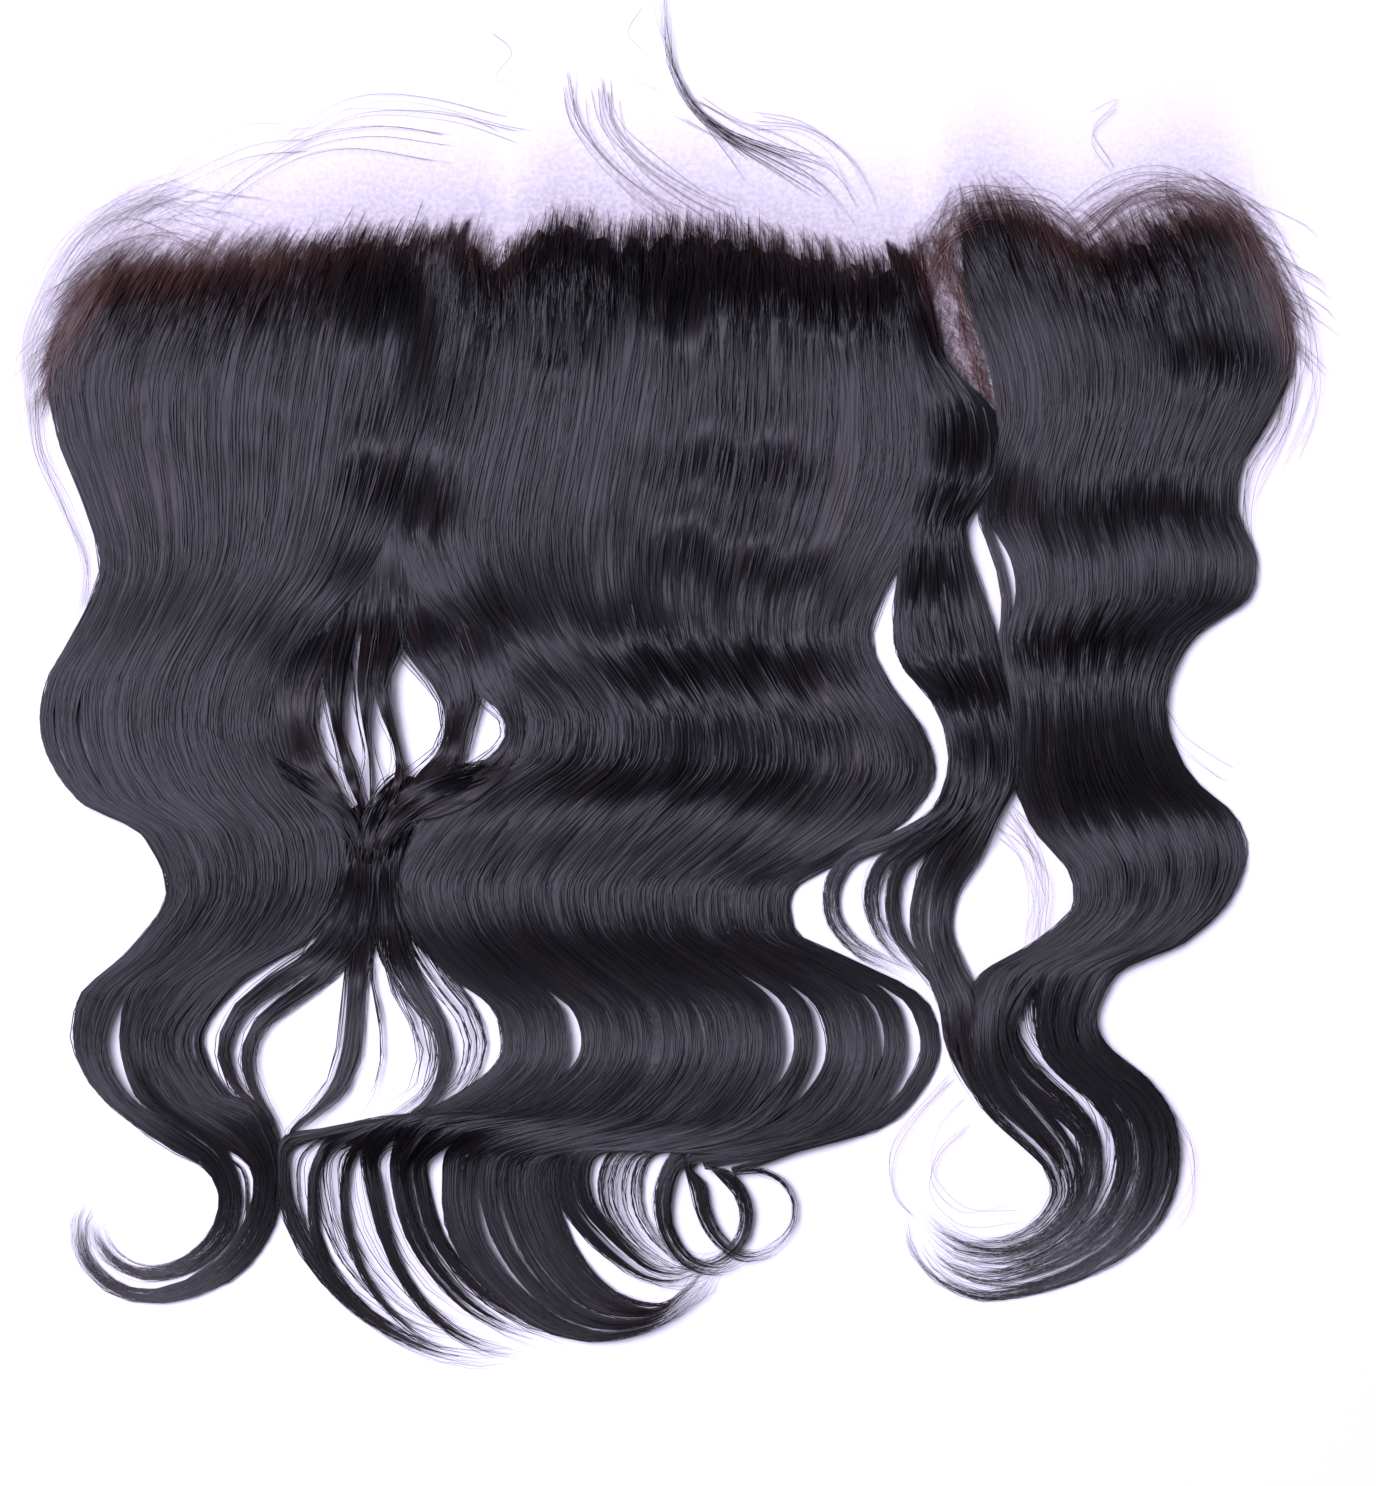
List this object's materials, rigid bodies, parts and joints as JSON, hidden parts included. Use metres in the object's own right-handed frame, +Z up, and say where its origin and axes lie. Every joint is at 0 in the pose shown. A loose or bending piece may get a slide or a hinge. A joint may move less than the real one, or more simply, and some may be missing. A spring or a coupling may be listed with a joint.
{
  "type": "lace frontal hairpiece",
  "caption": "Ear-to-ear band of fine lace net with long body-wave hair knotted into it, laid flat, with a bare front margin, a parting and curled ends.",
  "frame": {"origin": "Middle of the hairline, on the underside of the net, on the surface that the piece lies on.", "axes": "+X towards the wearer's left end of the band, +Y towards the front margin of the net, +Z up from the surface. The hair falls along -Y."},
  "size_m": [0.345, 0.378, 0.0173],
  "materials": {
    "net": "sheer hexagonal net, matte",
    "hair": "natural black hair with a soft satin sheen"
  },
  "bodies": {
    "root": {"lace_net": "net", "left_fall": "hair", "twist_lock": "hair", "centre_fall": "hair", "inner_lock": "hair", "right_fall": "hair", "raised_lock": "hair"}
  },
  "joints": []
}
